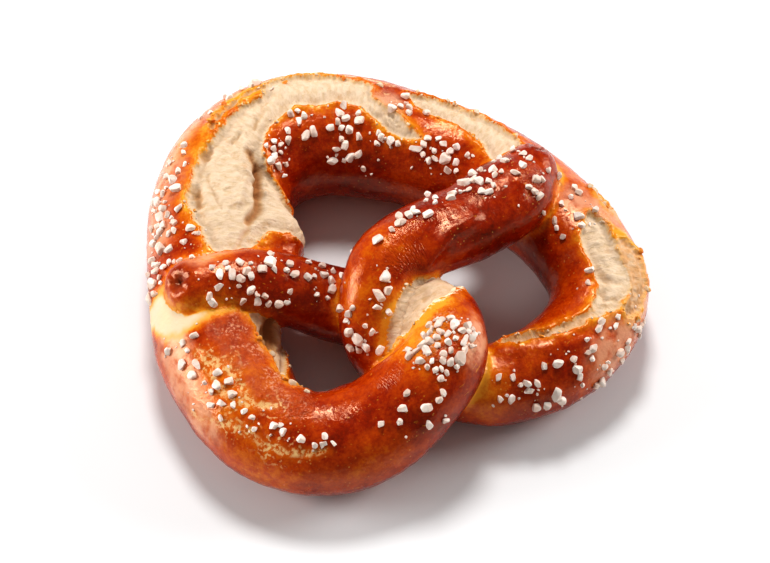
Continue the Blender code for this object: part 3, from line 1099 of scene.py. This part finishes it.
def makeSalt(mesh, tree, torn):
    make = saltMake
    dice = random.Random(make["seed"])
    ball, faces = ballShape(3)
    grains = []
    placed = []
    for fromAlong, toAlong, fromAngle, toAngle, count in saltPatches:
        for _ in range(count):
            for _ in range(make["tries"]):
                skin = findSkin(tree, dice.uniform(fromAlong, toAlong), dice.uniform(fromAngle, toAngle))
                size = dice.triangular(make["smallest"], make["largest"], make["usual"]) * mm
                if skin is None or torn[mesh.polygons[skin[2]].vertices[0]] > -make["clearOfTears"]:
                    continue
                if all((skin[0] - p).length > (size + r) * make["gap"] for p, r in placed):
                    break
            else:
                continue
            place = skin[0] + skin[1] * size * make["lift"]
            grains.append(chunk(ball, place, leaning(skin[1], dice, make["lean"]), size, dice))
            placed.append((skin[0], size))
    print("salt grains:", len(grains))
    return joinChunks("coarseSalt", grains, faces)


def makeDust(tree):
    make = dustMake
    dice = random.Random(make["seed"])
    ball, faces = ballShape(1)
    weights = [patch[4] for patch in saltPatches]
    bits = []
    while len(bits) < make["count"]:
        fromAlong, toAlong, fromAngle, toAngle, _ = dice.choices(saltPatches, weights)[0]
        along = dice.uniform(fromAlong - make["strayAlong"], toAlong + make["strayAlong"])
        around = dice.uniform(fromAngle - make["strayRound"], toAngle + make["strayRound"])
        skin = findSkin(tree, along, around)
        if skin is None:
            continue
        size = dice.uniform(make["smallest"], make["largest"]) * mm
        place = skin[0] + skin[1] * size * make["lift"]
        bits.append(chunk(ball, place, leaning(skin[1], dice, make["lean"]), size, dice))
    print("salt dust:", len(bits))
    return joinChunks("saltDust", bits, faces)


def makeCrumbs(mesh, tree, torn):
    # flakes of broken crust and crumb along the lips of the tears
    make = crumbMake
    dice = random.Random(make["seed"])
    ball, faces = ballShape(2)
    lips = [v for v, depth in zip(mesh.vertices, torn) if -0.6 < depth < 0.3 and v.normal.z > 0.05]
    crumbs = []
    for along, angle, size in flakes:
        skin = findSkin(tree, along, angle)
        if skin is not None:
            leant = leaning(skin[1], dice, make["flakeLean"])
            crumbs.append(chunk(ball, skin[0], leant, size * mm, dice))
    for v in dice.sample(lips, make["count"]):
        size = dice.triangular(make["smallest"], make["largest"], make["usual"]) * mm
        place = v.co + v.normal * size * make["lift"]
        crumbs.append(chunk(ball, place, leaning(v.normal, dice, make["lean"]), size, dice))
    print("crust crumbs:", len(crumbs))
    return joinChunks("crustCrumbs", crumbs, faces)


# table, light and camera
studio = {
    "floorSize": 6.0,
    "floorColour": (0.87, 0.87, 0.87, 1.0),
    "skyColour": (1.0, 0.99, 0.98, 1.0),
    "skyStrength": 0.2,
    # where each soft light stands, how wide it is, and how strong
    "lights": {
        "leftLight": ((-0.98, 0.60, 0.42), 0.6, 9.6),
        "topLight": ((0.30, 0.54, 1.08), 0.34, 9.8),
        "rightLight": ((1.0, -0.25, 0.48), 0.5, 6.4),
    },
}
view = {"azimuth": -31.0, "elevation": 55.0, "distance": 0.650, "lens": 102.1,
        "lookAt": (0.0011, -0.0088, 0.0137)}


def addCamera():
    turn, tilt = math.radians(view["azimuth"]), math.radians(view["elevation"])
    back = Vector((math.sin(turn) * math.cos(tilt), -math.cos(turn) * math.cos(tilt), math.sin(tilt)))
    data = bpy.data.cameras.new("camera")
    data.lens = view["lens"]
    data.sensor_width = 36.0
    camera = bpy.data.objects.new("camera", data)
    camera.location = Vector(view["lookAt"]) + back * view["distance"]
    camera.rotation_euler = back.to_track_quat("Z", "Y").to_euler()
    bpy.context.scene.collection.objects.link(camera)
    bpy.context.scene.camera = camera


def addStudio():
    world = bpy.data.worlds.new("studio")
    world.use_nodes = True
    sky = world.node_tree.nodes["Background"]
    sky.inputs["Color"].default_value = studio["skyColour"]
    sky.inputs["Strength"].default_value = studio["skyStrength"]
    bpy.context.scene.world = world
    for name, (place, size, power) in studio["lights"].items():
        data = bpy.data.lights.new(name, "AREA")
        data.shape = "DISK"
        data.size = size
        data.energy = power
        lamp = bpy.data.objects.new(name, data)
        lamp.location = place
        lamp.rotation_euler = Vector(place).to_track_quat("Z", "Y").to_euler()
        bpy.context.scene.collection.objects.link(lamp)
    half = studio["floorSize"] / 2
    mesh = bpy.data.meshes.new("floor")
    corners = [(-half, -half, 0), (half, -half, 0), (half, half, 0), (-half, half, 0)]
    mesh.from_pydata(corners, [], [(0, 1, 2, 3)])
    floor = bpy.data.objects.new("floor", mesh)
    look = Nodes("paleFloor")
    look.set("Base Color", studio["floorColour"])
    look.set("Roughness", 0.9)
    mesh.materials.append(look.material)
    bpy.context.scene.collection.objects.link(floor)


bpy.context.scene.view_settings.view_transform = "Standard"
bpy.context.scene.view_settings.look = "Medium High Contrast"
addCamera()
addStudio()
print("studio set")

bread = makePretzel()
bread.data.materials.append(breadMaterial())
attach(bread, "root")
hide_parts("pretzel")

torn = np.empty(len(bread.data.vertices), np.float32)
bread.data.attributes["torn"].data.foreach_get("value", torn)
tree = skinTree(bread.data)
white = saltMaterial()
for piece, look, slot in (
    (makeSalt(bread.data, tree, torn), white, "salt"),
    (makeDust(tree), white, "salt"),
    (makeCrumbs(bread.data, tree, torn), crumbMaterial(), "crust"),
):
    piece.data.materials.append(look)
    bpy.context.scene.collection.objects.link(piece)
    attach(piece, "root")
